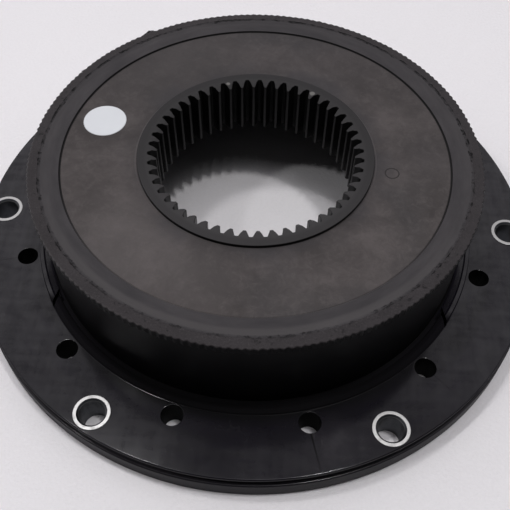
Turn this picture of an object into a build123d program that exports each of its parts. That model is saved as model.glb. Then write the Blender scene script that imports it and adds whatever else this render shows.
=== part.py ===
from build123d import *
import os
from math import acos, atan2, cos, degrees, pi, radians, sin, tan

# Torsionally soft flange coupling: a toothed ring bonded in a rubber disc, whose carrier is held by a bolt-on flange.
# The axis is Z, the flywheel side faces down and the origin is the centre of the flange's lower face.

# Flange plate: its lower lip centres it in the flywheel recess
flange_diameter = 263.4
flange_thickness = 14.4
spigot_length = 9.2
spigot_chamfer = 0.8
rim_groove_width = 3.8
rim_groove_depth = 2.2
upper_rim_diameter = 262.0

# Bolts in steel bushes, and the ring of plain holes inside them
bolt_circle = 244.48
bolt_count = 6
bush_diameter = 15.7
bush_bore = 11.0
bush_mouth = 12.1
bush_proud = 0.2
bush_wall = 0.3
small_hole_circle = 217.6
small_hole_count = 12
small_hole_diameter = 9.2

# Collar round the element, moulded by three slides that meet at the notches
slide_count = 3
slide_joint_angle = 90.0
collar_diameter = 201.8
collar_height = 1.7
narrow_bead_diameter = 200.6
narrow_bead_width = 1.5
narrow_bead_height = 1.3
collar_fall = 0.7
notch_width = 1.2
notch_lean = 50.0
crevice_width = 1.0

# Carrier: the tube round the rubber, seated in the flange's bore, with keys at its foot and a serrated lip on top
carrier_bore = 188.0
carrier_wall = 2.8
floor_clearance = 0.8
key_count = 3
key_width = 14.0
key_height = 4.2
key_reach = 3.2
key_clearance = 0.1
lip_edge_height = 58.8
lip_crown_height = 59.5
lip_crown_width = 2.5
lip_thickness = 3.6
serration_diameter = 197.9
serration_count = 200
serration_depth = 0.7

# Rubber disc
rubber_face_height = 59.2
rubber_border_height = 59.8
border_diameter = 169.8
rubber_inner_foot = 36.2
rubber_web_height = 40.5
rubber_web_inner_diameter = 122.0
rubber_web_outer_diameter = 160.0
rubber_outer_foot = 22.0

# Toothed ring
tooth_module = 1.8
tooth_count = 50
pressure_angle = 20.0
flank_clearance = 0.18
root_corner_height = 0.27
root_floor_share = 0.8
tooth_phase = 4.3
ring_diameter = 103.6
ring_top_height = 60.7
ring_length = 25.7
ring_edge_bevel = 0.45
tooth_end_relief = 1.4
tooth_end_land = 1.9

# Round label stuck on the rubber
label_diameter = 20.0
label_thickness = 0.2
label_centre_radius = 71.2
label_angle = 166.3

flange_radius = flange_diameter / 2
seat_radius = carrier_bore / 2 + carrier_wall
slide_span = 360 / slide_count

# A box or cylinder that stands on its place instead of being centred on it
upright = (Align.CENTER, Align.CENTER, Align.MIN)


def turned(points, arc=360.0, start=0.0):
    """Solid turned about Z from (radius, height) corners, over an arc that begins at the start angle."""
    section = Plane.XZ * make_face(Polyline(*points, close=True))
    return Rot(0, 0, start) * revolve(section, Axis.Z, revolution_arc=arc)


def polar(radius, angle):
    """Point on a circle round the axis, with the angle in radians."""
    return radius * cos(angle), radius * sin(angle)


def collar_arc(outer_radius, width, height, start, span):
    """Length of the raised collar that one slide or two leave, with a top that falls towards the carrier."""
    inner_radius = outer_radius - width
    top = flange_thickness + height
    section = [
        (inner_radius, 1),
        (outer_radius, 1),
        (outer_radius, top),
        (inner_radius, top - collar_fall),
    ]
    return turned(section, span, start)


def make_flange():
    """Moulded plate with the spigot lip, rim groove, collar, bolt holes and the pockets for the carrier's keys."""
    groove_radius = upper_rim_diameter / 2 - rim_groove_depth
    groove_top = spigot_length + rim_groove_width
    plate = turned([
        (seat_radius, 0),
        (flange_radius - spigot_chamfer, 0),
        (flange_radius, spigot_chamfer),
        (flange_radius, spigot_length),
        (groove_radius, spigot_length),
        (groove_radius, groove_top),
        (upper_rim_diameter / 2, groove_top),
        (upper_rim_diameter / 2, flange_thickness),
        (seat_radius, flange_thickness),
    ])

    front = slide_joint_angle + slide_span
    collar_radius = collar_diameter / 2
    wide = collar_radius - seat_radius - crevice_width
    plate += collar_arc(collar_radius, wide, collar_height, front + slide_span, 360 - slide_span)
    plate += collar_arc(narrow_bead_diameter / 2, narrow_bead_width, narrow_bead_height, front, slide_span)

    slot = Box(2 * (collar_radius - seat_radius), notch_width, 2 * collar_height, align=upright)
    slot_radius = (collar_radius + seat_radius) / 2
    leans = [0, notch_lean, -notch_lean]
    for lean, location in zip(leans, PolarLocations(slot_radius, slide_count, slide_joint_angle)):
        plate -= location * Pos(0, 0, flange_thickness) * Rot(0, 0, lean) * slot

    pocket_depth = floor_clearance + key_height + key_clearance
    pocket = Box(2 * (key_reach + key_clearance), key_width + 2 * key_clearance, 2 * pocket_depth)
    for location in PolarLocations(seat_radius, key_count, slide_joint_angle):
        plate -= location * pocket

    bush_boss = Cylinder(bush_diameter / 2 + bush_wall, flange_thickness, align=upright)
    plate += [location * bush_boss for location in PolarLocations(bolt_circle / 2, bolt_count)]
    bush_seat = Cylinder(bush_diameter / 2, 3 * flange_thickness)
    plate -= [location * bush_seat for location in PolarLocations(bolt_circle / 2, bolt_count)]
    plain_hole = Cylinder(small_hole_diameter / 2, 3 * flange_thickness)
    first = 180 / small_hole_count
    plate -= [location * plain_hole for location in PolarLocations(small_hole_circle / 2, small_hole_count, first)]
    return plate


def make_bush():
    """Steel bush, chamfered at its upper mouth, where it stands a little proud of the flange."""
    length = flange_thickness + bush_proud
    lead = (bush_mouth - bush_bore) / 2
    return turned([
        (bush_bore / 2, 0),
        (bush_diameter / 2, 0),
        (bush_diameter / 2, length),
        (bush_mouth / 2, length),
        (bush_bore / 2, length - lead),
    ])


def make_carrier():
    """Tube with the keys at its foot and the serrated lip on top."""
    lip_bottom = lip_edge_height - lip_thickness
    bore_radius = carrier_bore / 2
    crown_edge = bore_radius + lip_crown_width
    tube = turned([
        (bore_radius, floor_clearance),
        (seat_radius, floor_clearance),
        (seat_radius, lip_edge_height),
        (crown_edge, lip_edge_height),
        (bore_radius, lip_crown_height),
    ])
    key = Box(key_reach + carrier_wall / 2, key_width, key_height, align=(Align.MIN, Align.CENTER, Align.MIN))
    for location in PolarLocations(seat_radius - carrier_wall / 2, key_count, slide_joint_angle):
        tube += location * Pos(0, 0, floor_clearance) * key

    tip_radius = serration_diameter / 2
    pitch = 2 * pi / serration_count
    star = []
    for index in range(serration_count):
        star.append(polar(tip_radius, index * pitch))
        star.append(polar(tip_radius - serration_depth, (index + 0.5) * pitch))
    outline = make_face(Polyline(*star, close=True)) - Circle(crown_edge)
    lip = Pos(0, 0, lip_bottom) * extrude(outline, amount=lip_thickness)
    return tube + lip


def make_rubber():
    """Rubber disc bonded to the toothed ring and the carrier, hollowed underneath."""
    ring_radius = ring_diameter / 2
    bore_radius = carrier_bore / 2
    return turned([
        (bore_radius, rubber_outer_foot),
        (bore_radius, rubber_border_height),
        (border_diameter / 2, rubber_border_height),
        (border_diameter / 2, rubber_face_height),
        (ring_radius, rubber_face_height),
        (ring_radius, rubber_inner_foot),
        (rubber_web_inner_diameter / 2, rubber_web_height),
        (rubber_web_outer_diameter / 2, rubber_web_height),
    ])


def gap_half_angle(radius):
    """Half the angle of a tooth gap at a radius, on involute flanks that leave the hub's teeth their clearance."""
    pitch_radius = tooth_module * tooth_count / 2
    base_radius = pitch_radius * cos(radians(pressure_angle))
    roll = acos(min(1.0, base_radius / radius))
    involute = tan(roll) - roll
    reference = tan(radians(pressure_angle)) - radians(pressure_angle)
    return pi / (2 * tooth_count) + reference - involute + flank_clearance / radius


def make_toothed_ring():
    """Ring with internal involute teeth, whose tips slope down at the upper end where the hub enters."""
    pitch_radius = tooth_module * tooth_count / 2
    tip_radius = pitch_radius - tooth_module
    root_radius = pitch_radius + 1.25 * tooth_module
    flank_radius = root_radius - root_corner_height
    flank = [tip_radius, (tip_radius + flank_radius) / 2, flank_radius]
    pitch = 2 * pi / tooth_count
    outline = []
    for index in range(tooth_count):
        centre = radians(tooth_phase) + index * pitch
        root_half_angle = root_floor_share * gap_half_angle(flank_radius)
        outline += [polar(radius, centre - gap_half_angle(radius)) for radius in flank]
        outline.append(polar(root_radius, centre - root_half_angle))
        outline.append(polar(root_radius, centre + root_half_angle))
        outline += [polar(radius, centre + gap_half_angle(radius)) for radius in reversed(flank)]
    ring_bottom = ring_top_height - ring_length
    ring_radius = ring_diameter / 2
    blank = turned([
        (0, ring_bottom),
        (ring_radius, ring_bottom),
        (ring_radius, ring_top_height - ring_edge_bevel),
        (ring_radius - ring_edge_bevel, ring_top_height),
        (0, ring_top_height),
    ])
    opening = Pos(0, 0, ring_bottom - 1) * extrude(make_face(Polyline(*outline, close=True)), amount=ring_length + 2)

    relief_reach = root_radius - tooth_end_land - tip_radius
    lean = degrees(atan2(tooth_end_relief, relief_reach))
    wedge = Box(4 * relief_reach, 0.9 * pitch * root_radius, 4 * relief_reach, align=upright)
    bevel = Rot(0, -lean, 0) * wedge
    tools = []
    for location in PolarLocations(root_radius - tooth_end_land, tooth_count, tooth_phase + 180 / tooth_count):
        tools.append(location * Pos(0, 0, ring_top_height) * bevel)
    return blank - opening - tools


def make_label():
    """Thin round label on the rubber face."""
    disc = Cylinder(label_diameter / 2, label_thickness, align=upright)
    return Rot(0, 0, label_angle) * Pos(label_centre_radius, 0, rubber_face_height) * disc


os.makedirs("parts", exist_ok=True)
export_step(make_flange(), "parts/flange.step")
export_step(make_carrier(), "parts/carrier_ring.step")
export_step(make_rubber(), "parts/rubber_disc.step")
export_step(make_toothed_ring(), "parts/toothed_ring.step")
export_step(make_label(), "parts/label.step")
bush = make_bush()
for number, location in enumerate(PolarLocations(bolt_circle / 2, bolt_count), start=1):
    export_step(location * bush, f"parts/bush_{number}.step")
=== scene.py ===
from math import acos, atan2, cos, degrees, hypot, pi, radians, sin, tan

import bmesh
import bpy
from bpy.props import FloatProperty, FloatVectorProperty, IntProperty, PointerProperty
from mathutils import Matrix, Vector, noise


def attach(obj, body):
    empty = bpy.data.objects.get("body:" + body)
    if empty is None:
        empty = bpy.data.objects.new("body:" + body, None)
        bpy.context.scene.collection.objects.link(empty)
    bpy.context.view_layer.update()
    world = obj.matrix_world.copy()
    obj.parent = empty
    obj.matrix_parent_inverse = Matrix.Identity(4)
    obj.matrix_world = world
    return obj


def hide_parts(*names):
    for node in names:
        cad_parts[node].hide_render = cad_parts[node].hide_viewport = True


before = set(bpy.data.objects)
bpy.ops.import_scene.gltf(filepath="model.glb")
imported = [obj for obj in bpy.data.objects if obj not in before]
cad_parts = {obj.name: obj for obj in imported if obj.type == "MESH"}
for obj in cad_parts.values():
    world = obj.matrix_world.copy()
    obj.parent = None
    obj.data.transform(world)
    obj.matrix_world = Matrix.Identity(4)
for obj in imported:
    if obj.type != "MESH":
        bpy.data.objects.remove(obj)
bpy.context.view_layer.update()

bl_info = {
    "name": "Flange coupling with internal gear",
    "version": (1, 0, 0),
    "blender": (4, 5, 0),
    "location": "3D View > Sidebar > Coupling",
    "description": "Dresses a flange coupling: moulded flange, rubber disc, toothed ring and steel bushes",
    "category": "Add Mesh",
}

MM = 0.001


def length(name, description, millimetres):
    """Length property with its default in millimetres."""
    metres = millimetres * MM
    return FloatProperty(name=name, description=description, default=metres, precision=5, unit="LENGTH")


def turn(name, description, angle):
    """Angle property with its default in degrees."""
    value = radians(angle)
    kind = {"subtype": "ANGLE", "unit": "ROTATION"}
    return FloatProperty(name=name, description=description, default=value, **kind)


def colour(name, description, value):
    """Linear colour property."""
    limits = {"size": 3, "min": 0, "max": 1}
    return FloatVectorProperty(name=name, description=description, default=value, subtype="COLOR", **limits)


def point(name, description, value):
    """Place property in metres."""
    kind = {"subtype": "XYZ", "unit": "LENGTH"}
    return FloatVectorProperty(name=name, description=description, default=value, **kind)


def number(name, description, value, low, high):
    """Whole number property."""
    return IntProperty(name=name, description=description, default=value, min=low, max=high)


class FlangeSizes(bpy.types.PropertyGroup):
    """Sizes and colour of the moulded flange."""
    seat_radius: length("Seat radius", "Bore for the carrier", 96.8)
    lip_radius: length("Lip radius", "Lower lip that centres the flange", 131.7)
    rim_radius: length("Rim radius", "Upper edge of the plate", 131)
    groove_depth: length("Groove depth", "Depth of the rim groove", 2.2)
    lip_height: length("Lip height", "Height of the lower lip", 9.2)
    groove_top: length("Groove top", "Upper wall of the groove", 13)
    thickness: length("Thickness", "Height of the plate", 14.4)
    collar_radius: length("Collar radius", "Outside of the two side slides' collar", 103)
    collar_height: length("Collar height", "Height of the collar above the plate", 1.7)
    collar_fall: length("Collar fall", "Drop of the collar towards the carrier", 0.7)
    bead_radius: length("Bead radius", "Outside of the front slide's bead", 101.9)
    bead_height: length("Bead height", "Height of the bead above the plate", 1.3)
    bolt_circle: length("Bolt circle", "Diameter of the bushes' circle", 244.48)
    hole_circle: length("Hole circle", "Diameter of the plain holes' circle", 217.6)
    hole_radius: length("Hole radius", "Radius of the plain holes", 4.6)
    notch_width: length("Notch width", "Slots between the slides", 1.2)
    notch_lean: turn("Notch lean", "Slant of the two front slots", 50)
    colour: colour("Plastic colour", "Black glass-filled plastic", (0.0036, 0.0027, 0.006))


class CarrierSizes(bpy.types.PropertyGroup):
    """Sizes and colour of the carrier ring with its serrated lip."""
    bore_radius: length("Bore radius", "Inside of the tube", 94)
    wall_radius: length("Wall radius", "Outside of the tube", 96.8)
    foot_height: length("Foot height", "Lower end of the tube", 0.8)
    lip_bottom: length("Lip bottom", "Underside of the serrated lip", 56)
    lip_edge: length("Lip edge", "Upper edge of the serrations", 60)
    crown_height: length("Crown height", "Top of the lip beside the rubber", 60.3)
    tip_radius: length("Tip radius", "Outside of the serrations", 98.95)
    depth: length("Serration depth", "Depth of the serrations", 0.65)
    wear: length("Wear", "Unevenness of the worn serrations", 0.2)
    ribs: number("Serrations", "Number of serrations", 200, 20, 400)
    colour: colour("Wall colour", "Black plastic of the wall", (0.0022, 0.0022, 0.0026))
    top_colour: colour("Lip colour", "Dusty top of the lip", (0.037, 0.0335, 0.035))


class RubberSizes(bpy.types.PropertyGroup):
    """Sizes and colour of the rubber disc."""
    face_height: length("Face height", "Height of the rubber's face", 59.2)
    border_height: length("Border height", "Height of the raised border", 59.8)
    border_radius: length("Border radius", "Inner edge of the raised border", 84.9)
    inner_foot: length("Inner foot", "Lower end at the toothed ring", 36.2)
    web_height: length("Web height", "Underside between the feet", 40.5)
    web_inner: length("Web inner radius", "Where the underside levels out", 61)
    web_outer: length("Web outer radius", "Where the underside drops again", 80)
    outer_foot: length("Outer foot", "Lower end at the carrier", 22)
    crumbs: number("Crumbs", "Torn crumbs along the mould seam", 340, 0, 2000)
    colour: colour("Rubber colour", "Dusty black rubber", (0.066, 0.0585, 0.057))


class GearSizes(bpy.types.PropertyGroup):
    """Sizes and colour of the internally toothed ring."""
    module: length("Module", "Tooth module", 1.8)
    teeth: number("Teeth", "Number of internal teeth", 50, 12, 200)
    pressure_angle: turn("Pressure angle", "Slope of the involute flanks", 20)
    phase: turn("Phase", "Direction of the first tooth gap", 4.3)
    outer_radius: length("Outer radius", "Outside of the ring", 51.8)
    top: length("Top", "Height of the upper face", 60.7)
    length: length("Tooth length", "Length of the teeth", 25.7)
    clearance: length("Flank clearance", "Room for the hub's teeth", 0.18)
    corner: length("Root corner", "Rounded corners at the root", 0.5)
    relief: length("Relief", "Drop of the tooth ends to their tips", 1.1)
    land: length("Land", "Flat part of the tooth ends", 1.9)
    colour: colour("Ring colour", "Dark plastic", (0.0045, 0.0043, 0.0046))
    top_colour: colour("Ring top colour", "Dusty upper face", (0.0235, 0.0222, 0.0229))


class BushSizes(bpy.types.PropertyGroup):
    """Sizes and colour of the steel bushes."""
    outer_radius: length("Outer radius", "Outside of a bush", 7.85)
    bore_radius: length("Bore radius", "Bore for the bolt", 5.5)
    mouth_radius: length("Mouth radius", "Chamfered mouth of the bore", 6.4)
    height: length("Height", "Length of a bush", 14.6)
    count: number("Bushes", "Number of bushes", 6, 1, 24)
    colour: colour("Steel colour", "Plated steel", (0.45, 0.45, 0.44))


class LabelSizes(bpy.types.PropertyGroup):
    """Sizes and colour of the round label."""
    radius: length("Radius", "Radius of the label", 9.65)
    thickness: length("Thickness", "Thickness of the label", 0.2)
    distance: length("Distance", "Distance of its centre from the axis", 71.2)
    angle: turn("Angle", "Direction of its centre", 166.3)
    colour: colour("Label colour", "White film", (0.645, 0.67, 0.69))


class StudioSizes(bpy.types.PropertyGroup):
    """Floor, lamps and camera."""
    floor_size: length("Floor size", "Side of the square floor", 8000)
    floor_colour: colour("Floor colour", "Pale table", (0.8, 0.79, 0.8))
    lamp_height: length("Lamp height", "Height of the lamps above the floor", 1500)
    sky: FloatProperty(name="Sky", description="Soft light from all sides", default=0.66, min=0, max=1)
    eye: point("Eye", "Place of the camera", (0.009987, -0.232843, 0.293164))
    aim: point("Aim", "Point on the line of sight", (0.001519, -0.053619, 0.03))
    roll: turn("Roll", "Turn of the camera about its line of sight", 0.621)
    lens: FloatProperty(name="Lens", description="Focal length", default=52.386, subtype="DISTANCE_CAMERA")
    shift: FloatVectorProperty(name="Shift", description="Lens shift", default=(0.0061, 0.075), size=2)


class CouplingSettings(bpy.types.PropertyGroup):
    """All that a user can change on the coupling and its studio."""
    flange: PointerProperty(type=FlangeSizes)
    carrier: PointerProperty(type=CarrierSizes)
    rubber: PointerProperty(type=RubberSizes)
    gear: PointerProperty(type=GearSizes)
    bush: PointerProperty(type=BushSizes)
    label: PointerProperty(type=LabelSizes)
    studio: PointerProperty(type=StudioSizes)


# Mesh building

def in_mm(sizes, names):
    """Lengths of a property group in millimetres, by their names in one line."""
    return [getattr(sizes, name) / MM for name in names.split()]


def rounded(corners, steps=4):
    """Closed outline in metres through corners (radius, height, fillet) in millimetres."""
    outline = []
    for index, (radius, height, fillet) in enumerate(corners):
        here = Vector((radius, height))
        if not fillet:
            outline.append((radius * MM, height * MM))
            continue
        back = (Vector(corners[index - 1][:2]) - here).normalized()
        ahead = (Vector(corners[(index + 1) % len(corners)][:2]) - here).normalized()
        half = back.angle(ahead) / 2
        centre = here + (back + ahead).normalized() * (fillet / sin(half))
        start = here + back * (fillet / tan(half)) - centre
        end = here + ahead * (fillet / tan(half)) - centre
        first = atan2(start.y, start.x)
        sweep = (atan2(end.y, end.x) - first + pi) % (2 * pi) - pi
        for step in range(steps + 1):
            angle = first + sweep * step / steps
            outline.append(((centre.x + fillet * cos(angle)) * MM, (centre.y + fillet * sin(angle)) * MM))
    return outline


def column(outline, angle):
    """An outline of (radius, height) stood up in the direction of an angle."""
    return [(radius * cos(angle), radius * sin(angle), height) for radius, height in outline]


def skin(name, columns, ends="joined"):
    """Mesh over closed columns round the axis, with its two ends joined, capped or open."""
    count = len(columns[0])
    faces = []
    for index in range(len(columns) if ends == "joined" else len(columns) - 1):
        here, there = index * count, (index + 1) % len(columns) * count
        for place in range(count):
            after = (place + 1) % count
            faces.append((here + place, there + place, there + after, here + after))
    if ends == "capped":
        faces.append(tuple(range(count)))
        faces.append(tuple(reversed(range((len(columns) - 1) * count, len(columns) * count))))
    mesh = bpy.data.meshes.new(name)
    mesh.from_pydata([point for one in columns for point in one], [], faces)
    return mesh


def revolve(name, corners, segments, steps=4):
    """Mesh of a full turn of an outline."""
    outline = rounded(corners, steps)
    return skin(name, [column(outline, 2 * pi * index / segments) for index in range(segments)])


def settle(mesh, sharp=32):
    """Welds a mesh, points its faces outwards and shades it smooth with crisp edges."""
    shape = bmesh.new()
    shape.from_mesh(mesh)
    bmesh.ops.remove_doubles(shape, verts=shape.verts, dist=1e-7)
    bmesh.ops.dissolve_degenerate(shape, edges=shape.edges, dist=1e-8)
    bmesh.ops.recalc_face_normals(shape, faces=shape.faces)
    shape.to_mesh(mesh)
    shape.free()
    mesh.shade_smooth()
    mesh.set_sharp_from_angle(angle=radians(sharp))
    mesh.update()
    return mesh


def stand(name, mesh, material=None):
    """Object for a mesh, at the origin."""
    piece = bpy.data.objects.new(name, mesh)
    bpy.context.scene.collection.objects.link(piece)
    if material:
        mesh.materials.clear()
        mesh.materials.append(material)
    return piece


def plain(piece):
    """Turns a piece with live modifiers into a plain mesh."""
    graph = bpy.context.evaluated_depsgraph_get()
    old = piece.data
    live = piece.evaluated_get(graph)
    made = bpy.data.meshes.new_from_object(live, preserve_all_data_layers=True, depsgraph=graph)
    piece.modifiers.clear()
    piece.data = made
    bpy.data.meshes.remove(old)
    made.name = piece.name
    return piece


def join_meshes(name, meshes):
    """One mesh of several."""
    shape = bmesh.new()
    for mesh in meshes:
        shape.from_mesh(mesh)
        bpy.data.meshes.remove(mesh)
    made = bpy.data.meshes.new(name)
    shape.to_mesh(made)
    shape.free()
    return made


def cut(mesh, tools):
    """Takes the tool meshes out of a mesh."""
    body = stand("blank", mesh)
    knife = stand("knife", settle(join_meshes("knife", tools)))
    modifier = body.modifiers.new("Cut", "BOOLEAN")
    modifier.operation = "DIFFERENCE"
    modifier.solver = "EXACT"
    modifier.object = knife
    plain(body)
    made = body.data
    bpy.data.objects.remove(body)
    bpy.data.objects.remove(knife)
    return made


def placed(mesh, turn_z=0.0, move=(0, 0, 0), lean=0.0):
    """Turns a mesh by lean where it stands, moves it and turns it about the axis."""
    here = Matrix.Rotation(lean, 4, "Z")
    mesh.transform(Matrix.Rotation(turn_z, 4, "Z") @ Matrix.Translation(move) @ here)
    return mesh


def block(name, size, centre):
    """Box mesh, as a cutting tool."""
    shape = bmesh.new()
    bmesh.ops.create_cube(shape, size=1)
    matrix = Matrix.Translation(centre) @ Matrix.Diagonal((*size, 1))
    bmesh.ops.transform(shape, matrix=matrix, verts=shape.verts)
    mesh = bpy.data.meshes.new(name)
    shape.to_mesh(mesh)
    shape.free()
    return mesh


def around(count, first, distance, make):
    """Meshes spaced evenly on a circle, from a first direction in degrees."""
    angles = [radians(first + 360 / count * index) for index in range(count)]
    return [placed(make(), angle, (distance, 0, 0)) for angle in angles]


def ride(piece, slot, *nodes):
    """Evens the shading of a finished piece and puts it on the body in place of its CAD nodes."""
    modifier = piece.modifiers.new("Even", "WEIGHTED_NORMAL")
    modifier.keep_sharp = True
    plain(piece)
    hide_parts(*nodes)
    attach(piece, "root")


# Nodes

def operation(name, swapped=False):
    """Python operator that makes a Math node."""
    def act(self, other):
        return self.owner.maths(name, *((other, self) if swapped else (self, other)))
    return act


class Value:
    """A node's output that Python's operators act on."""

    def __init__(self, owner, socket):
        self.owner = owner
        self.socket = socket

    __add__ = operation("ADD")
    __radd__ = operation("ADD", True)
    __sub__ = operation("SUBTRACT")
    __rsub__ = operation("SUBTRACT", True)
    __mul__ = operation("MULTIPLY")
    __rmul__ = operation("MULTIPLY", True)
    __truediv__ = operation("DIVIDE")
    __pow__ = operation("POWER")


class Nodes:
    """A node tree: one method makes any node, the others are the few that recur."""

    def node(self, kind, sockets=None, output=0, **settings):
        """Node with its sockets' values or links and its settings; gives one of its outputs."""
        made = self.tree.nodes.new(kind)
        for key, value in settings.items():
            setattr(made, key, value)
        for key, value in (sockets or {}).items():
            self.feed(value, made.inputs[key])
        return Value(self, made.outputs[output])

    def feed(self, value, socket):
        """Links a value to a socket, or sets it."""
        if isinstance(value, Value):
            self.tree.links.new(value.socket, socket)
        else:
            socket.default_value = value

    def maths(self, name, *values):
        """Math node."""
        return self.node("ShaderNodeMath", dict(enumerate(values)), operation=name)

    def vector(self, x=0.0, y=0.0, z=0.0):
        """Vector of three parts."""
        return self.node("ShaderNodeCombineXYZ", {0: x, 1: y, 2: z})


class Tree(Nodes):
    """A geometry node group with named inputs, the last of which is the material."""

    def __init__(self, name, **inputs):
        self.tree = bpy.data.node_groups.new(name, "GeometryNodeTree")
        self.keys = {}
        for label, value in {"Geometry": None, **inputs, "Material": None}.items():
            kind = {int: "Int", float: "Float"}.get(type(value), label)
            socket = self.tree.interface.new_socket(label, in_out="INPUT", socket_type="NodeSocket" + kind)
            if value is not None:
                socket.default_value = value
            self.keys[label] = socket.identifier
        self.tree.interface.new_socket("Geometry", in_out="OUTPUT", socket_type="NodeSocketGeometry")
        outputs = self.tree.nodes.new("NodeGroupInput").outputs
        self.given = {socket.name: Value(self, socket) for socket in outputs}

    def finish(self, geometry):
        """Realizes the instances, welds what touches, sets the material and closes the group."""
        real = self.node("GeometryNodeRealizeInstances", {"Geometry": geometry})
        welded = self.node("GeometryNodeMergeByDistance", {"Geometry": real, "Distance": 1e-6})
        sockets = {"Geometry": welded, "Material": self.given["Material"]}
        dressed = self.node("GeometryNodeSetMaterial", sockets)
        self.feed(dressed, self.tree.nodes.new("NodeGroupOutput").inputs[0])
        return self

    def apply(self, piece, **values):
        """Runs the group on a piece and leaves a plain mesh."""
        modifier = piece.modifiers.new("Nodes", "NODES")
        modifier.node_group = self.tree
        for label, value in values.items():
            modifier[self.keys[label]] = value
        return plain(piece)


def repeat_tree():
    """Repeats a sector round the axis, or a piece on a circle, and welds what touches."""
    tree = Tree("Repeat round the axis", Count=6, Radius=0.0, Phase=0.0)
    geometry, count, radius, phase, *_ = tree.given.values()
    angle = tree.node("GeometryNodeInputIndex") / count * (2 * pi) + phase
    place = tree.vector(tree.maths("COSINE", angle) * radius, tree.maths("SINE", angle) * radius)
    points = tree.node("GeometryNodePoints", {"Count": count, "Position": place})
    rotation = tree.node("FunctionNodeEulerToRotation", {0: tree.vector(z=angle)})
    copies = {"Points": points, "Instance": geometry, "Rotation": rotation}
    return tree.finish(tree.node("GeometryNodeInstanceOnPoints", copies))


def crumb_tree():
    """Scatters torn crumbs of flash along a seam that runs round the axis."""
    tree = Tree("Torn flash", Count=400, Radius=0.0946, Height=0.0598, Spread=0.0004,
                Smallest=0.0001, Largest=0.0004, Seed=4)
    _, count, radius, height, spread, smallest, largest, seed, *_ = tree.given.values()
    ring = tree.node("GeometryNodeMeshCircle", {"Vertices": count, "Radius": radius})
    points = tree.node("GeometryNodeMeshToPoints", {"Mesh": ring})

    def random_vector(low, high):
        """Three numbers drawn between two corners."""
        sockets = {0: low, 1: high, "Seed": seed}
        return tree.node("FunctionNodeRandomValue", sockets, data_type="FLOAT_VECTOR")

    back = spread * -1.0
    jitter = random_vector(tree.vector(back, back, height), tree.vector(spread, spread, height))
    strewn = tree.node("GeometryNodeSetPosition", {"Geometry": points, "Offset": jitter})
    full_turn = 6.28
    rotation = tree.node("FunctionNodeEulerToRotation", {0: random_vector((0, 0, 0), (full_turn,) * 3)})
    patches = tree.node("ShaderNodeTexNoise", {"Scale": 38.0, "Detail": 2.0}, "Fac")
    patch = tree.node("ShaderNodeMapRange", {"Value": patches, 1: 0.42, 2: 0.62, 3: 0.35, 4: 1.0})
    share = tree.node("FunctionNodeRandomValue", {2: 0.0, 3: 1.0, "Seed": seed}, 1)
    size = smallest + (largest - smallest) * share ** 3.0
    width = size * patch
    scale = tree.vector(width * 1.7, width, size * 0.7)
    crumb = tree.node("GeometryNodeMeshIcoSphere", {"Radius": 1.0, "Subdivisions": 2})
    copies = {"Points": strewn, "Instance": crumb, "Rotation": rotation, "Scale": scale}
    whole = tree.node("GeometryNodeInstanceOnPoints", copies)
    real = tree.node("GeometryNodeRealizeInstances", {"Geometry": whole})
    rough = tree.node("ShaderNodeTexNoise", {"Scale": 4200.0, "Detail": 1.0}, "Color")
    centred = tree.node("ShaderNodeVectorMath", {0: rough, 1: (0.5, 0.5, 0.5)}, operation="SUBTRACT")
    offset = tree.node("ShaderNodeVectorMath", {0: centred, "Scale": 0.00035}, operation="SCALE")
    return tree.finish(tree.node("GeometryNodeSetPosition", {"Geometry": real, "Offset": offset}))


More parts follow.
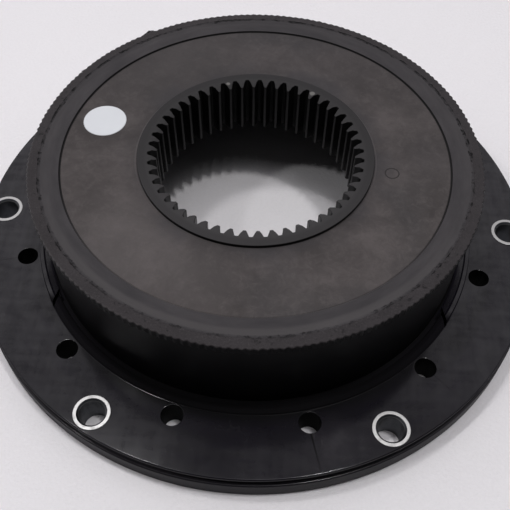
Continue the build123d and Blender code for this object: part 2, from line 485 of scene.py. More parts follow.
class Shader(Nodes):
    """A material's nodes, with masks by place on the part, in millimetres and degrees."""

    def __init__(self, name, owner=None, place="Object", **constants):
        self.material = owner or bpy.data.materials.new(name)
        self.material.use_nodes = True
        self.tree = self.material.node_tree
        kinds = ("BSDF_PRINCIPLED", "BACKGROUND")
        self.surface = next(node for node in self.tree.nodes if node.type in kinds)
        for label, value in constants.items():
            self.surface.inputs[label.replace("_", " ")].default_value = value
        self.place = self.node("ShaderNodeTexCoord", None, place)
        self.x, self.y, self.z = (self.part(self.place, axis) for axis in range(3))
        self.radius = self.maths("SQRT", self.x * self.x + self.y * self.y)

    def part(self, vector, axis):
        """One of a vector's three parts."""
        return self.node("ShaderNodeSeparateXYZ", {0: vector}, axis)

    def clamp(self, value):
        """Value kept between nothing and one."""
        return self.node("ShaderNodeClamp", {"Value": value})

    def rise(self, value, low, high):
        """Smooth step from nothing at low to one at high."""
        sockets = {"Value": value, 1: low, 2: high}
        return self.node("ShaderNodeMapRange", sockets, interpolation_type="SMOOTHSTEP")

    def beyond(self, low, high):
        """Smooth step by the distance from the axis."""
        return self.rise(self.radius, low * MM, high * MM)

    def within(self, low, high):
        """The opposite of beyond."""
        return 1 - self.beyond(low, high)

    def ahead(self, low, high):
        """Smooth step by how far a point lies in front of the axis."""
        return self.rise(self.y * -1.0, low * MM, high * MM)

    def above(self, low, high):
        """Smooth step by height."""
        return self.rise(self.z, low * MM, high * MM)

    def band(self, value, centre, half, soft):
        """One inside a band of a value and nothing outside it."""
        off = self.maths("ABSOLUTE", value - centre * MM)
        return 1 - self.rise(off, half * MM, (half + soft) * MM)

    def spot(self, radius, angle, size, soft):
        """Round mask at a distance from the axis and in a direction."""
        x, y = radius * MM * cos(radians(angle)), radius * MM * sin(radians(angle))
        gap = self.maths("SQRT", (self.x - x) ** 2.0 + (self.y - y) ** 2.0)
        return 1 - self.rise(gap, size * MM, (size + soft) * MM)

    def ray(self, angle, half, soft, inner, outer):
        """Thin radial line between two radii, with soft ends."""
        x, y = cos(radians(angle)), sin(radians(angle))
        along = self.x * x + self.y * y
        begin = self.rise(along, inner * MM, (inner + 0.6) * MM)
        end = 1 - self.rise(along, (outer - 1) * MM, outer * MM)
        return self.band(self.x * -y + self.y * x, 0, half, soft) * begin * end

    def noise(self, scale, detail=3.0, rough=0.55, at=None, warp=0.0):
        """Noise that is the same wherever the piece is seen from."""
        sockets = {"Scale": scale, "Detail": detail, "Roughness": rough, "Distortion": warp}
        return self.node("ShaderNodeTexNoise", {"Vector": at or self.place, **sockets}, "Fac")

    def swirl(self, spread, pace):
        """Place for noise that runs round the axis."""
        return self.vector(self.x / self.radius * spread, self.y / self.radius * spread, self.radius * pace)

    def stretched(self, x, y, turned=0.0):
        """Place for noise that is drawn out in a direction."""
        sockets = {"Vector": self.place, "Rotation": (0, 0, turned), "Scale": (x, y, 1.0)}
        return self.node("ShaderNodeMapping", sockets)

    def upward(self):
        """How far a face looks up."""
        return self.part(self.node("ShaderNodeNewGeometry", None, "Normal"), 2)

    def mix(self, share, first, second):
        """Blend of two colours."""
        first, second = (one if isinstance(one, Value) else (*one, 1.0) for one in (first, second))
        return self.node("ShaderNodeMix", {0: share, 6: first, 7: second}, 2, data_type="RGBA")

    def mottled(self, colour, dark, light, value, low, gain):
        """A colour between a dark and a light shade of itself, by a value."""
        return self.mix(self.clamp((value - low) * gain), shade(colour, dark), shade(colour, light))

    def paint(self, tone, *layers):
        """A tone with colours laid over it, each through its mask."""
        for mask, colour in layers:
            tone = self.mix(mask, tone, colour)
        return tone

    def finish(self, tone, roughness, bump, depth):
        """Feeds the surface, with the depth of the bumps in millimetres, and gives the material."""
        self.feed(tone, self.surface.inputs["Base Color"])
        if roughness is not None:
            self.feed(roughness, self.surface.inputs["Roughness"])
        sockets = {"Strength": 1.0, "Distance": depth * MM, "Height": bump}
        normal = self.node("ShaderNodeBump", sockets, "Normal")
        self.feed(normal, self.surface.inputs["Normal"])
        return self.material


def shade(colour, factor):
    """A colour made darker or lighter."""
    return tuple(min(1.0, channel * factor) for channel in colour)


def mould_seam(s):
    """Ragged distance from the axis and dashes along the seam, which meet in the rubber and the lip."""
    ragged = s.radius + (s.noise(420.0, 5.0, 0.7) - 0.5) * 0.0026
    return ragged, s.rise(s.noise(150.0, 2.0), 0.47, 0.54)


# Materials

def flange_plastic(sizes):
    """Black moulded plastic with flow marks, weld lines, handling scuffs and a little dust; painted shade
    in the crevice, slots, holes and in front of the carrier, painted light in the rim groove, on the front
    bead and in a pale sheen patch.
    """
    s = Shader("flange_plastic", Specular_IOR_Level=0.08, Coat_Roughness=0.14)
    side = 1 - s.rise(s.upward(), 0.9, 0.985)
    arcs = s.noise(160, 5, 0.6, s.swirl(0.035, 1.6))
    cloud = s.noise(26, 4, 0.6)
    fine = s.noise(900, 3, 0.6)
    scuff = s.rise(s.noise(240, 6, 0.72, warp=0.6), 0.56, 0.74) * s.rise(s.noise(30, 2), 0.48, 0.66)
    dust = s.clamp((arcs - 0.42) * 1.3 + (cloud - 0.5) * 0.8)

    # Weld lines where the flows met, the strongest one in front
    weld = s.ray(284.6, 0.2, 0.26, 112.8, 130)
    for angle in (195, 315, 105):
        weld = weld + 0.35 * s.ray(angle, 0.12, 0.2, 112.8, 130)
    weld = s.clamp(weld) * (1 - s.beyond(116.5, 127.5) * 0.55)

    # Pale patches, part flow marks and part painted sheen: distance, direction, share and reach
    patches = ((121, 288.5, 1, 17), (122, 207, 0.35, 16), (122, 182, 0.5, 14))
    flow_and_sheen = sum(s.spot(radius, angle, 1, reach) * share for radius, angle, share, reach in patches)
    flow_and_sheen = s.clamp(flow_and_sheen) * (0.35 + 0.65 * s.rise(s.noise(120, 4, 0.65), 0.35, 0.65))

    # Wiping marks that cross each other
    lines, threads = s.stretched(1, 0.1), s.stretched(0.1, 1)
    weave = (s.noise(330, 3, 0.6, lines) + s.noise(330, 3, 0.6, threads) - 1) * 0.5
    weave = weave + (s.noise(75, 5, 0.65, warp=0.5) - 0.5) * 1.1

    nick = s.spot(116.8, 286, 1.2, 3) * s.rise(s.noise(480, 3, 0.6, lines), 0.5, 0.6)
    groove = s.beyond(127.5, 128.6) * s.band(s.z, 11.1, 1.8, 0.4)
    bead = s.within(103.3, 103.8) * s.ahead(48, 53)
    foot = s.within(103.4, 109) * s.ahead(60, 95)
    hole_shade = side * s.band(s.radius, 108.8, 5.2, 0.2)
    black = (0.0004, 0.0004, 0.0005)
    tone = s.paint(
        s.mix(dust, shade(sizes.colour, 0.68), shade(sizes.colour, 1.7)),
        (flow_and_sheen * 0.75, (0.024, 0.0225, 0.0265)),
        (scuff * 0.5, (0.024, 0.024, 0.025)),
        (weld * 0.9, (0.001, 0.001, 0.0012)),
        (nick * 0.6, (0.05, 0.046, 0.046)),
        # Painted light: the rim groove is painted lighter than the plate
        (groove, (0.026, 0.024, 0.028)),
        # Painted shade: the crevice beside the carrier and the steep faces inside the collar are painted
        # black
        (s.within(97.2, 97.6), black),
        (side * s.within(99.6, 100), black),
        # Painted shade: the walls of the holes are painted dark
        (hole_shade, (0.0008, 0.0008, 0.0009)),
        # Painted shade: the plate in front of the carrier, outside the bead, is painted dark for the wall's
        # shadow and dark reflection
        (foot * 0.8, (0.0006, 0.0006, 0.0007)),
        # Painted light: the front bead, which has no coat, is painted lighter in place of its sheen
        (bead * 0.5, (0.0072, 0.0068, 0.0074)),
    )
    gloss = 0.66 + dust * 0.14 + scuff * 0.1 + (fine - 0.5) * 0.06 + bead * 0.15
    height = fine * 0.1 + arcs * 0.1 + s.noise(3200, 2) * 0.06 - weld * 0.8

    # Moulding skin on the plate's upper face and, weaker, on its rim
    dull = s.spot(124.5, 264, 6, 18)
    sheen = s.clamp(0.8 - dust * 0.3 - scuff * 0.3 + weave * 1.1 + (cloud - 0.5) * 0.5)
    sheen = sheen * (1 - weld * 0.7) * (1 - bead) * (1 - dull * 0.45)
    coat = s.beyond(98.3, 98.8) * (1 - side) * sheen + side * s.beyond(129, 130) * 0.2
    s.feed(coat, s.surface.inputs["Coat Weight"])
    return s.finish(tone, gloss, height, 0.12)


def carrier_plastic(sizes):
    """Black wall with faint upright drag marks, a dusty lip top and a painted highlight along the lip's
    left edge.
    """
    s = Shader("carrier_plastic", Specular_IOR_Level=0.13)
    facing = s.rise(s.upward(), 0.35, 0.8) * s.above(57, 58.5)
    streak = s.noise(420, 4, 0.6, s.vector(s.x, s.y, s.z * 0.06))
    cloud = s.noise(70, 4, 0.65)
    grain = s.noise(1400, 3, 0.7)
    wall = s.mottled(sizes.colour, 0.7, 1.5, streak, 0.4, 1.8)
    top = s.paint(
        s.mottled(sizes.top_colour, 0.72, 1.22, cloud, 0.3, 1.6),
        (s.rise(grain, 0.53, 0.72) * 0.5, shade(sizes.top_colour, 1.9)),
        (s.rise(1 - grain, 0.53, 0.72) * 0.5, shade(sizes.top_colour, 0.35)),
    )
    # Painted highlight on the lip's outer edge, on the left side
    lit_edge = s.beyond(98, 98.4) * s.above(59.4, 59.8) * s.rise(s.x * -1, 0.02, 0.07)
    ragged, dashes = mould_seam(s)
    seam = (1 - s.rise(ragged, 0.0943, 0.0946)) * dashes
    behind = 1 - s.ahead(50, 90)
    chips = s.rise(s.noise(320, 4, 0.7), 0.6, 0.66) * s.band(s.radius, 95.5, 1.2, 0.6)
    tone = s.paint(
        s.mix(facing, wall, top),
        (lit_edge * 0.3, (0.1, 0.094, 0.094)),
        (facing * seam * (0.4 + behind * 0.6), (0.003, 0.0028, 0.003)),
        (facing * chips * 0.7, (0.008, 0.0075, 0.008)),
    )
    gloss = 0.4 + facing * 0.34 + (cloud - 0.5) * 0.14
    height = streak * 0.1 + grain * (0.1 + facing * 0.35) + cloud * facing * 0.4
    return s.finish(tone, gloss, height, 0.16)


def rubber_coat(sizes):
    """Matt rubber with a mottled bloom, dark patches, a few scratches and the gate mark, with the step line
    and the underside painted dark as shade and a painted highlight beside the ring.
    """
    s = Shader("rubber", Specular_IOR_Level=0.14)
    base = sizes.colour
    bloom = s.noise(34, 5, 0.62, warp=0.4)
    patch = s.noise(14, 3, 0.5)
    grain = s.noise(1100, 4, 0.7)
    arcs = s.noise(150, 4, 0.6, s.swirl(0.03, 1.4))
    speck = s.noise(230, 5, 0.75, warp=0.5)
    front = s.ahead(20, 80)
    near = s.within(52, 66) * s.rise(s.noise(48, 3), 0.42, 0.62)

    # Raised border, its step and the torn seam beside the lip
    border = s.beyond(84.6, 85.3)
    rim = s.mix(s.clamp((arcs - 0.3) * 1.8), (0.031, 0.029, 0.031), (0.053, 0.049, 0.051))
    rim = s.mix(s.band(s.radius, 91.5, 0.8, 1.6) * (0.1 + front * 0.45), rim, (0.064, 0.06, 0.06))
    step = s.beyond(84.3, 84.6) * s.within(85.05, 85.3)
    ragged, dashes = mould_seam(s)
    seam = s.band(ragged, 93.7, 0.42, 0.25) * (0.3 + dashes * 0.7)
    pits = s.rise(s.noise(700, 3, 0.6), 0.5, 0.62)

    # The largest pits of the seam: distance, direction and size
    holes = (
        (94, 129.5, 0.5), (93.5, 146.1, 0.5), (93.6, 151.9, 0.5), (93.5, 157.3, 0.35), (93.5, 160.1, 0.35),
        (93.7, 100.4, 0.5), (93.8, 98, 0.4), (93.8, 86, 0.5), (93.8, 84.6, 0.5), (93.8, 82.1, 0.5),
        (93.7, 80.6, 0.4), (93.4, 199, 0.4), (93.4, 203, 0.4),
    )
    ring_edge_highlight = s.band(s.radius, 52.5, 0.16, 0.3) * (1 - s.ahead(0, 30))
    gate = s.spot(59.6, -7.5, 3, 0.3) * (1 - s.spot(59.6, -7.5, 2.5, 0.3))
    scratch = s.rise(s.noise(85, 5, 0.8, s.stretched(1, 0.07, 0.7)), 0.66, 0.74)
    pale, pit = (0.11, 0.1, 0.098), (0.002, 0.002, 0.002)
    tone = s.paint(
        s.mottled(base, 0.62, 1.32, bloom, 0.32, 2.4),
        (s.rise(patch, 0.52, 0.66) * 0.45, (0.037, 0.0365, 0.038)),
        (s.clamp((speck - 0.5) * 3) * 0.5, shade(base, 1.7)),
        (s.clamp((0.5 - speck) * 3) * 0.5, shade(base, 0.45)),
        (s.rise(s.y, 0, 0.075) * 0.28, (0.042, 0.0385, 0.0405)),
        (s.spot(70, 228, 6, 34) * 0.4, pale),
        (s.spot(66, 125, 6, 40) * 0.4, (0.042, 0.04, 0.04)),
        (near * 0.45, (0.042, 0.041, 0.045)),
        (s.within(53.5, 62) * 0.28, (0.03, 0.028, 0.03)),
        (s.spot(72, 256, 4, 20) * 0.22, pale),
        (s.spot(76, 2, 4, 18) * 0.3, (0.036, 0.034, 0.036)),
        (border, rim),
        # Painted shade: the step's riser and the face at its foot are painted dark, weaker in front
        (step * (0.97 - front * 0.75), (0.004, 0.004, 0.004)),
        (seam * (0.55 + pits * 0.45) * (1 - front * 0.4), (0.003, 0.0028, 0.003)),
        *((s.spot(radius, angle, size, 0.3) * (0.3 + pits * 0.7), pit) for radius, angle, size in holes),
        # Painted highlight: a pale line on the rubber beside the ring, except in front
        (ring_edge_highlight * 0.35, (0.105, 0.097, 0.099)),
        (gate * 0.8, (0.018, 0.017, 0.016)),
        # Painted shade: the underside of the disc is painted dark
        (1 - s.above(50, 57.5), (0.008, 0.008, 0.008)),
        (scratch * 0.22, (0.1, 0.098, 0.094)),
    )
    gloss = 0.66 + (bloom - 0.5) * 0.2 + (grain - 0.5) * 0.1 - border * 0.08
    height = grain * 0.22 + bloom * 0.5 + arcs * border * 0.4 - step * 0.5 - seam * pits * 1.6 - gate * 0.8
    return s.finish(tone, gloss, height, 0.18)


def gear_plastic(sizes):
    """Dark toothed ring with a hazy upper face and faint draw lines down the flanks, with painted shade in
    the tooth roots and on the outer wall, and two painted glints.
    """
    s = Shader("ring_plastic", Specular_IOR_Level=0.2)
    facing = s.rise(s.upward(), 0.45, 0.85)
    cloud = s.noise(60, 4, 0.6)
    grain = s.noise(1500, 3, 0.7)
    draw = s.noise(900, 3, 0.6, s.vector(s.x, s.y, s.z * 0.04))
    # Painted shade in the tooth roots
    root_shade = s.beyond(45.2, 46.8) * s.within(47.5, 47.8) * (1 - facing)
    wall = s.paint(
        s.mottled(sizes.colour, 0.75, 1.5, draw, 0.4, 1.8),
        (root_shade, (0.0007, 0.0007, 0.0008)),
        # Painted shade: the ring's outer wall, which stands proud of the rubber, is painted near black
        (s.beyond(51, 51.4), (0.0008, 0.0008, 0.0009)),
    )
    top = s.paint(
        s.mottled(sizes.top_colour, 0.8, 1.18, cloud, 0.3, 1.8),
        (s.within(47.2, 49.2) * 0.45, (0.044, 0.043, 0.0435)),
        (0.25, (0.036, 0.0345, 0.0355)),
        ((1 - s.ahead(-10, 45)) * 0.42, (0.01, 0.0094, 0.0098)),
    )
    # Two painted glints on tooth ends at the far side of the bore: direction and size
    glints = ((109.3, 0.6), (58.4, 0.9))
    tone = s.paint(
        s.mix(facing, wall, top),
        *((s.spot(46.2, angle, size, 0.6) * 0.8, (0.16, 0.155, 0.145)) for angle, size in glints),
    )
    gloss = 0.38 + facing * 0.26 + (cloud - 0.5) * 0.12 + root_shade * 0.35
    height = grain * 0.14 + draw * 0.12 + cloud * facing * 0.3
    return s.finish(tone, gloss, height, 0.12)


def plated_steel(sizes, distance):
    """Turned and plated steel: fine rings on the end face, tool marks in the bore, a few dull spots, the
    bore painted dark as shade and a painted highlight round its upper edge.
    """
    s = Shader("steel", Metallic=1)
    step = 2 * pi / sizes.count
    nearest = s.maths("ROUND", s.maths("ARCTAN2", s.y, s.x) / step) * step
    across = s.x - s.maths("COSINE", nearest) * distance
    beyond = s.y - s.maths("SINE", nearest) * distance
    own = s.maths("SQRT", across * across + beyond * beyond)
    rings = s.noise(1, 3, 0.7, s.vector(own * 5200, across * 60, s.z * 2600))
    dull = s.noise(420, 4, 0.65)
    # Painted shade: the bore and its chamfer are painted dark
    inside = 1 - s.rise(own, 0.00628, 0.00638)
    # Painted highlight: a thin bright line round the bore's upper edge
    rim = s.band(own, 5.56, 0.06, 0.06) * s.above(13.45, 13.55)
    tone = s.paint(
        s.mix(s.rise(dull, 0.5, 0.72) * 0.5, sizes.colour, shade(sizes.colour, 0.72)),
        (inside * 0.92, (0.048, 0.052, 0.062)),
        (rim * 0.7, (0.3, 0.3, 0.29)),
    )
    gloss = 0.42 + (rings - 0.5) * 0.16 + s.rise(dull, 0.45, 0.75) * 0.16 + inside * 0.05
    return s.finish(tone, gloss, rings * 0.6 + dull * 0.3, 0.03)


def label_film(sizes):
    """White plastic film with a soft sheen, a cut edge painted grey as shade, and tiny specks."""
    s = Shader("sticker", Specular_IOR_Level=0.45)
    radius = sizes.radius / MM
    edge = 1 - s.spot(sizes.distance / MM, degrees(sizes.angle), radius - 0.5, 0.5)
    speck = s.rise(s.noise(900, 3), 0.68, 0.75)
    cloud = s.noise(120, 3)
    tone = s.mottled(sizes.colour, 0.95, 1, cloud, 0.3, 1.5)
    # Painted shade: a grey band round the cut edge, mixed with the specks
    tone = s.mix(edge * 0.45 + speck * 0.15, tone, (0.3, 0.31, 0.32))
    height = cloud * 0.5 + s.noise(1500, 2) * 0.1
    return s.finish(tone, 0.36 + (cloud - 0.5) * 0.12, height, 0.06)


def table_cover(sizes):
    """Pale table cover with a fine pebbled grain."""
    s = Shader("table_cover", Specular_IOR_Level=0.25, Roughness=0.62)
    pebble = s.noise(620, 3, 0.6)
    tone = s.mottled(sizes.floor_colour, 0.965, 1.02, pebble, 0.35, 1.6)
    tone = s.mix(s.noise(9, 3) * 0.12, tone, shade(sizes.floor_colour, 0.93))
    return s.finish(tone, None, pebble + s.noise(2100, 2) * 0.3, 0.28)


# Pieces

def make_flange(settings):
    """Moulded flange with its rim groove, holes, collar and slanted notches."""
    sizes = settings.flange
    seat, thick, rim, lip, lip_top, groove_top, hole = in_mm(
        sizes, "seat_radius thickness rim_radius lip_radius lip_height groove_top hole_radius")
    groove = rim - sizes.groove_depth / MM
    plate = settle(revolve("plate", [
        (seat, 0, 0.2), (lip - 0.8, 0, 0.3), (lip, 0.8, 0.3), (lip, lip_top, 0.7), (groove, lip_top, 0.5),
        (groove, groove_top, 0.4), (rim, groove_top, 0.15), (rim, thick, 0.6), (seat, thick, 0.15),
    ], 480))

    # Each bush seat has a thin wall that closes it towards the rim groove
    low, high, brim = -5, 20, thick + 0.02
    wall = [(7.87, 8.9, 0), (8.15, 8.9, 0), (8.15, 13.3, 0), (7.87, 13.3, 0)]
    bush_seat = [(0, low, 0), (7.86, low, 0), (7.86, thick - 0.12, 0),
                 (8.0, brim, 0), (8.0, high, 0), (0, high, 0)]
    drill = [(0, low, 0), (hole, low, 0), (hole, thick - 0.3, 0), (hole + 0.1, thick - 0.1, 0),
             (hole + 0.32, brim, 0), (hole + 0.32, high, 0), (0, high, 0)]
    walls = around(6, 0, sizes.bolt_circle / 2, lambda: revolve("wall", wall, 72))
    tools = around(6, 0, sizes.bolt_circle / 2, lambda: revolve("seat", bush_seat, 72))
    tools += around(12, 15, sizes.hole_circle / 2, lambda: revolve("drill", drill, 56))
    pocket = (6.6 * MM, 14.2 * MM, 10.2 * MM)
    tools += around(3, 90, sizes.seat_radius, lambda: block("pocket", pocket, (0, 0, 0)))
    plate = cut(plate, tools)

    def crevice(angle):
        """Gap between collar and carrier, which opens towards the notches in front."""
        away = min(abs(degrees(angle) % 360 - notch) for notch in (209, 331))
        return 0.45 + 0.85 * max(0.0, 1 - away / 30) ** 2

    def slide(start, span, outline, steps):
        """Arc of collar that one slide leaves."""
        angles = [radians(start + span * step / steps) for step in range(steps + 1)]
        columns = [column(rounded(outline(angle), 3), angle) for angle in angles]
        return settle(skin("slide", columns, "capped"))

    outer, bead, fall, collar_height, bead_height = in_mm(
        sizes, "collar_radius bead_radius collar_fall collar_height bead_height")
    collar_top, bead_top, sunk = thick + collar_height, thick + bead_height, 12

    def wide(angle):
        """Section of the collar at the sides and the back."""
        inner = seat + crevice(angle)
        return [
            (inner, sunk, 0), (outer + 1.2, sunk, 0), (outer + 1.2, thick - 0.05, 0),
            (outer + 0.15, thick + 0.05, 0.2), (outer, collar_top - 0.15, 0.3),
            (outer - 1.7, collar_top, 0.5),
            (outer - 2.4, collar_top - 0.3, 0.4), (inner, collar_top - fall, 0),
        ]

    def narrow(angle):
        """Section of the front slide's bead, with a ditch between it and the carrier."""
        inner, ditch = seat + crevice(angle), thick - 0.4
        return [
            (inner, sunk, 0), (bead + 2.2, sunk, 0), (bead + 2.2, thick - 0.05, 0),
            (bead + 1.3, thick + 0.05, 0.3), (bead + 1.0, thick + 0.55, 0.3), (bead - 0.5, bead_top, 0.6),
            (bead - 1.4, bead_top - 0.25, 0.4), (99.2, bead_top - fall, 0.3), (98.7, ditch, 0.1),
            (inner, ditch, 0),
        ]

    def beside(place, lean, side, width):
        """Cutting tool for what lies on one side of a slanted slot, or for the slot itself."""
        middle = (sizes.seat_radius + sizes.collar_radius) / 2
        shift = side * (width - sizes.notch_width) / 2
        slot = block("slot", (14 * MM, width, 3.6 * MM), (0, shift, 16.2 * MM))
        return placed(slot, radians(90 + 120 * place), (middle, 0, 0), lean)

    lean, far = sizes.notch_lean, 10 * MM
    back_slot = beside(0, 0, 0, sizes.notch_width)
    slots = [back_slot, beside(1, lean, 1, far), beside(2, -lean, -1, far)]
    collars = cut(slide(-32.0, 244.0, wide, 340), slots)
    front = cut(slide(207.0, 126.0, narrow, 180), [beside(1, lean, -1, far), beside(2, -lean, 1, far)])
    mesh = join_meshes("flange_body", [plate, collars, front, *walls])
    piece = stand("flange_body", settle(mesh), flange_plastic(sizes))
    ride(piece, "flange_plastic", "flange")


def make_carrier(settings):
    """Carrier ring: a plain wall and a lip with moulded serrations."""
    sizes = settings.carrier
    bore, wall, foot, bottom, edge, crown, tip, depth = in_mm(
        sizes, "bore_radius wall_radius foot_height lip_bottom lip_edge crown_height tip_radius depth")
    columns = []
    steps = 8
    for step in range(steps + 1):
        share = step / steps
        wave = 0.5 + 0.5 * cos(2 * pi * share)
        out = tip - depth * (1 - (0.8 * wave + 0.2 * (1 - share)) ** 0.75)
        outline = rounded([
            (bore, foot, 0.2), (wall, foot, 0.2), (wall, bottom - 0.5, 0.4),
            (wall + 0.7, bottom + 0.25, 0.3), (out - 0.2, bottom + 0.35, 0.2), (out, edge - 0.35, 0.2),
            (out - 0.35, edge, 0.15), (wall - 0.3, edge + 0.08, 0.1), (bore + 1.1, crown - 0.1, 0.5),
            (bore, crown, 0.1),
        ], 3)
        columns.append(column(outline, 2 * pi * share / sizes.ribs))
    piece = stand("carrier_shell", skin("carrier_shell", columns, "open"))
    repeat_tree().apply(piece, Count=sizes.ribs, Material=carrier_plastic(sizes))

    # Worn serrations: slow swells all round, and small dents that are deeper where a swell is high
    for point in piece.data.vertices:
        reach = hypot(point.co.x, point.co.y)
        if reach > sizes.wall_radius + 1.2 * MM and point.co.z > sizes.lip_bottom:
            around_lip = Vector((point.co.x, point.co.y, point.co.z * 0.3))
            slow, quick = noise.noise(around_lip * 45), noise.noise(around_lip * 380)
            grow = sizes.wear * (0.7 * slow + quick * (0.7 + slow))
            point.co += Vector((point.co.x, point.co.y, 0)).normalized() * grow
    settle(piece.data, 50)
    ride(piece, "carrier_plastic", "carrier_ring")


def make_rubber(settings):
    """Rubber disc with its raised border, and the torn flash along the mould seam."""
    sizes, ring, bore = settings.rubber, settings.gear.outer_radius / MM, settings.carrier.bore_radius / MM
    crown = settings.carrier.crown_height / MM
    face, border, inner, outer_foot, inner_foot, web, web_inner, web_outer = in_mm(
        sizes, "face_height border_height border_radius outer_foot inner_foot"
        " web_height web_inner web_outer")
    outline = [
        (bore, outer_foot, 0.5), (bore, crown - 0.03, 0.05), (bore - 0.5, crown - 0.1, 0.2),
        (bore - 2.6, border + 0.1, 0.6), (inner + 0.35, border, 0.3), (inner, face, 0.12),
        (inner - 0.6, face, 0.0), (ring + 12, face + 0.06, 0.0), (ring + 1.0, face, 0.4),
        (ring, face + 0.04, 0), (ring, inner_foot, 0.3), (web_inner, web, 3.0), (web_outer, web, 4.0),
    ]
    material = rubber_coat(sizes)
    piece = stand("rubber_face", settle(revolve("rubber_face", outline, 480, 5)), material)
    ride(piece, "rubber", "rubber_disc")

    seed = stand("mould_flash", bpy.data.meshes.new("mould_flash"))
    crumb_tree().apply(
        seed, Count=sizes.crumbs, Radius=sizes.border_radius + 9.55 * MM, Height=(crown - 0.38) * MM,
        Spread=0.42 * MM, Smallest=0.10 * MM, Largest=0.48 * MM, Seed=4, Material=material)
    strewn = seed.data
    torn = [strewn.copy()]

    # The largest torn lumps at the edge of the lip: direction, distance and size
    lumps = ((124.8, 98.9, 1.0), (125.5, 99.7, 0.8), (126.5, 98.9, 0.8),
             (127.3, 98.7, 0.5), (150.0, 98.8, 0.4), (233.0, 98.7, 0.35))
    profile = ((0, -0.6), (0.8, -0.35), (1, 0.1), (0.5, 0.5), (0, 0.55))
    for angle, distance, size in lumps:
        lump = revolve("lump", [(radius * size, height * size, 0) for radius, height in profile], 9)
        at_lip = Matrix.Translation((distance * MM, 0, 59.6 * MM))
        lump.transform(at_lip @ Matrix.Diagonal((1.0, 1.5, 1.0, 1.0)))
        placed(lump, radians(angle))
        for point in lump.vertices:
            point.co += noise.noise_vector(point.co * 1300) * 0.5 * size * MM
        lump.materials.append(material)
        torn.append(lump)
    seed.data = join_meshes("mould_flash", torn)
    bpy.data.meshes.remove(strewn)
    seed.data.materials.append(material)
    settle(seed.data, 60)
    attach(seed, "root")


def make_gear(settings):
    """Toothed ring: involute gaps with round roots, soft tips and upper ends that slope inwards."""
    sizes = settings.gear
    module, top, outer = in_mm(sizes, "module top outer_radius")
    half_pitch = pi / sizes.teeth
    pitch_radius = module * sizes.teeth / 2
    base = pitch_radius * cos(sizes.pressure_angle)
    tip, root = pitch_radius - module, pitch_radius + 1.25 * module
    bottom = (sizes.top - sizes.length) / MM
    reference = tan(sizes.pressure_angle) - sizes.pressure_angle

    def half_gap(radius):
        """Half angle of a gap on its involute flanks."""
        roll = acos(min(1.0, base / radius))
        return half_pitch / 2 + reference - (tan(roll) - roll) + sizes.clearance / MM / radius

    # Half a gap from the middle of a tooth's tip to the middle of the root, as (radius, half angle)
    corner, blunt = root - sizes.corner / MM, half_gap(tip)
    half = [(tip, half_pitch), (tip, blunt + (half_pitch - blunt) * 0.45), (tip + 0.03, blunt + 0.006),
            (tip + 0.14, half_gap(tip + 0.14) + 0.0012)]
    flank = [tip + 0.3 + (corner - tip - 0.3) * step / 5 for step in range(6)]
    half += [(radius, half_gap(radius)) for radius in flank]
    for step in range(1, 7):
        bend = pi / 2 * step / 6
        along, across = sin(bend) ** 0.8, max(0.0, cos(bend)) ** 0.65
        half.append((corner + (root - corner) * along, half_gap(corner) * across))
    plan = [(radius, -angle) for radius, angle in half]
    plan += reversed(half[:-1])
    crease = root - sizes.land / MM

    def height(radius):
        """Height of the upper tooth end, which drops towards the tip."""
        share = min(1.0, max(0.0, (crease - radius) / (crease - tip)))
        return top - sizes.relief / MM * share

    middle = root + 0.9
    drops = ((0.45, 0), (0.2, 0.07), (0.06, 0.2), (0, 0.45))
    rounded_edge = [(outer - back, top - drop) for back, drop in drops]
    fold_start = half_gap(crease) + 0.003
    columns = []
    for place, (radius, angle) in enumerate(plan):
        before, after = plan[max(0, place - 1)], plan[min(place + 1, len(plan) - 1)]
        along = Vector([after[0] * axis(after[1]) - before[0] * axis(before[1]) for axis in (cos, sin)])
        inward = Vector((along.y, -along.x)).normalized()
        point = Vector((radius * cos(angle), radius * sin(angle)))
        if inward.dot(point) < 0 and abs(inward.dot(point.normalized())) > 0.9:
            inward = -inward
        soft = point + inward * 0.14
        soft_radius, soft_angle = hypot(*soft), atan2(soft.y, soft.x)
        spread = 2 * half_pitch * place / (len(plan) - 1) - half_pitch
        between = (soft_angle + spread) / 2
        if radius < crease:
            share = max(0.0, (abs(angle) - blunt) / (half_pitch - blunt))
            fold = fold_start + (half_pitch - fold_start) * share
            ridge = (crease, fold if angle > 0 else -fold, top)
        else:
            ridge = (soft_radius + 0.3, soft_angle, top)
        chain = [
            (radius, angle, bottom + 0.3), (radius, angle, height(radius) - 0.16),
            (soft_radius, soft_angle, height(soft_radius)), ridge, (middle, between, top),
            *((r, spread, z) for r, z in rounded_edge), (outer, spread, bottom + 0.3),
            (outer - 0.3, spread, bottom), (middle, between, bottom), (radius + 0.25, angle, bottom),
        ]
        columns.append([(r * cos(a) * MM, r * sin(a) * MM, z * MM) for r, a, z in chain])
    piece = stand("tooth_ring", skin("tooth_ring", columns, "open"))
    repeat_tree().apply(piece, Count=sizes.teeth, Phase=sizes.phase, Material=gear_plastic(sizes))
    settle(piece.data, 40)
    ride(piece, "ring_plastic", "toothed_ring")


def make_bushes(settings):
    """Six turned steel bushes with chamfered mouths and a broken outer edge."""
    sizes = settings.bush
    outer, bore, mouth, high = in_mm(sizes, "outer_radius bore_radius mouth_radius height")
    piece = stand("bushes", revolve("bushes", [
        (bore + 0.2, 0, 0.1), (outer, 0, 0.3), (outer, high, 0.22), (mouth, high, 0.08),
        (bore, high - (mouth - bore), 0.15), (bore, 0.2, 0),
    ], 96))
    distance = settings.flange.bolt_circle / 2
    repeat_tree().apply(piece, Count=sizes.count, Radius=distance, Material=plated_steel(sizes, distance))
    settle(piece.data)
    ride(piece, "steel", *["bush_%d" % (index + 1) for index in range(6)])


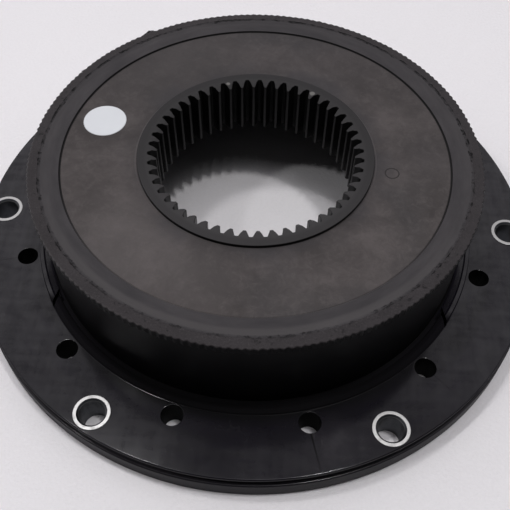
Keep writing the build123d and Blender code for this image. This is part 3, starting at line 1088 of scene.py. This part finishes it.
def make_label(settings):
    """Bare round label with a soft cut edge."""
    sizes = settings.label
    radius, thick = in_mm(sizes, "radius thickness")
    base = settings.rubber.face_height / MM
    mesh = revolve("label_disc", [
        (0, base, 0), (radius, base, 0), (radius, base + thick * 0.8, 0.06),
        (radius - 0.5, base + thick, 0.4), (0, base + thick, 0),
    ], 120, 3)
    placed(mesh, sizes.angle, (sizes.distance, 0, 0))
    piece = stand("label_disc", settle(mesh), label_film(sizes))
    ride(piece, "sticker", "label")


def make_studio(settings):
    """Pale floor, soft lamps and the camera."""
    scene, sizes = bpy.context.scene, settings.studio
    half = sizes.floor_size / 2
    mesh = bpy.data.meshes.new("table")
    corners = [(-half, -half, 0), (half, -half, 0), (half, half, 0), (-half, half, 0)]
    mesh.from_pydata(corners, [], [(0, 1, 2, 3)])
    stand("table", mesh, table_cover(sizes))

    # Tube lamps that run from front to back and shine straight down: place, width, depth and power
    lamps = {
        "Lamp right": (0.271, -0.017, 0.05, 0.14, 5.2),
        "Lamp right front": (0.271, -0.27, 0.03, 0.36, 0.7),
        "Lamp left": (-0.368, 0.253, 0.12, 0.16, 4.9),
        "Lamp far left": (-0.977, -0.301, 0.12, 0.14, 4.2),
    }
    for name, (x, y, width, depth, power) in lamps.items():
        light = bpy.data.lights.new(name, "AREA")
        light.shape, light.size, light.size_y, light.energy = "RECTANGLE", width, depth, power
        light.color = (1.0, 0.985, 1.0)
        holder = bpy.data.objects.new(name, light)
        holder.location = (x, y, sizes.lamp_height)
        holder.visible_camera = False
        scene.collection.objects.link(holder)

    # Sky that is weaker in front and overhead, but for a bright patch straight above
    scene.world = bpy.data.worlds.new("Studio")
    s = Shader("Studio", scene.world, "Generated")
    overhead = s.rise(s.z, 0.80, 0.93)
    front = s.rise(s.y * -1.0, 0.0, 0.38)
    strength = sizes.sky * (1.05 - 0.36 * s.x + 0.22 * s.y) * (1 - 0.58 * overhead) * (1 - 0.90 * front)
    s.feed(strength + 1.4 * s.rise(s.z, 0.955, 0.975), s.surface.inputs["Strength"])
    s.surface.inputs["Color"].default_value = (0.995, 0.965, 1.01, 1.0)

    camera = bpy.data.objects.new("Camera", bpy.data.cameras.new("Camera"))
    scene.collection.objects.link(camera)
    eye, aim = Vector(sizes.eye), Vector(sizes.aim)
    facing = (aim - eye).to_track_quat("-Z", "Y").to_matrix().to_4x4()
    camera.matrix_world = Matrix.Translation(eye) @ facing @ Matrix.Rotation(sizes.roll, 4, "Z")
    camera.data.lens = sizes.lens
    camera.data.sensor_width = 36
    camera.data.shift_x, camera.data.shift_y = sizes.shift
    camera.data.clip_start, camera.data.clip_end = 0.01, 50
    scene.camera = camera
    scene.view_settings.view_transform = "Standard"


# Operators, panel and registration

class Build:
    """What the operators share: each makes one piece, or the studio."""

    def execute(self, context):
        """Makes what the operator is for, from the scene's settings."""
        self.make(context.scene.coupling)
        return {"FINISHED"}


class BuildFlange(Build, bpy.types.Operator):
    """Moulded flange with its rim groove, holes, collar and slanted notches"""
    bl_idname = "coupling.flange"
    bl_label = "Flange"
    make = staticmethod(make_flange)


class BuildCarrier(Build, bpy.types.Operator):
    """Carrier ring: a plain wall and a lip with moulded serrations"""
    bl_idname = "coupling.carrier"
    bl_label = "Carrier ring"
    make = staticmethod(make_carrier)


class BuildRubber(Build, bpy.types.Operator):
    """Rubber disc with its raised border, and the torn flash along the mould seam"""
    bl_idname = "coupling.rubber"
    bl_label = "Rubber disc"
    make = staticmethod(make_rubber)


class BuildGear(Build, bpy.types.Operator):
    """Toothed ring: involute gaps with round roots, soft tips and upper ends that slope inwards"""
    bl_idname = "coupling.gear"
    bl_label = "Toothed ring"
    make = staticmethod(make_gear)


class BuildBushes(Build, bpy.types.Operator):
    """Six turned steel bushes with chamfered mouths and a broken outer edge"""
    bl_idname = "coupling.bushes"
    bl_label = "Steel bushes"
    make = staticmethod(make_bushes)


class BuildLabel(Build, bpy.types.Operator):
    """Bare round label with a soft cut edge"""
    bl_idname = "coupling.label"
    bl_label = "Label"
    make = staticmethod(make_label)


class BuildStudio(Build, bpy.types.Operator):
    """Pale floor, soft lamps and the camera"""
    bl_idname = "coupling.studio"
    bl_label = "Studio"
    make = staticmethod(make_studio)


class CouplingPanel(bpy.types.Panel):
    """Buttons for the coupling's pieces and its studio"""
    bl_idname = "VIEW3D_PT_coupling"
    bl_label = "Flange coupling"
    bl_space_type = "VIEW_3D"
    bl_region_type = "UI"
    bl_category = "Coupling"

    def draw(self, context):
        for operator in OPERATORS:
            self.layout.operator(operator.bl_idname)


GROUPS = (FlangeSizes, CarrierSizes, RubberSizes, GearSizes,
          BushSizes, LabelSizes, StudioSizes, CouplingSettings)
OPERATORS = (BuildFlange, BuildCarrier, BuildRubber, BuildGear, BuildBushes, BuildLabel, BuildStudio)


def register():
    for group in (*GROUPS, *OPERATORS, CouplingPanel):
        bpy.utils.register_class(group)
    bpy.types.Scene.coupling = PointerProperty(type=CouplingSettings)


def unregister():
    del bpy.types.Scene.coupling
    for group in reversed((*GROUPS, *OPERATORS, CouplingPanel)):
        bpy.utils.unregister_class(group)


def main():
    """Makes every piece and the stage."""
    register()
    bpy.ops.coupling.flange()
    bpy.ops.coupling.carrier()
    bpy.ops.coupling.rubber()
    bpy.ops.coupling.gear()
    bpy.ops.coupling.bushes()
    bpy.ops.coupling.label()
    bpy.ops.coupling.studio()


if __name__ == "__main__":
    main()
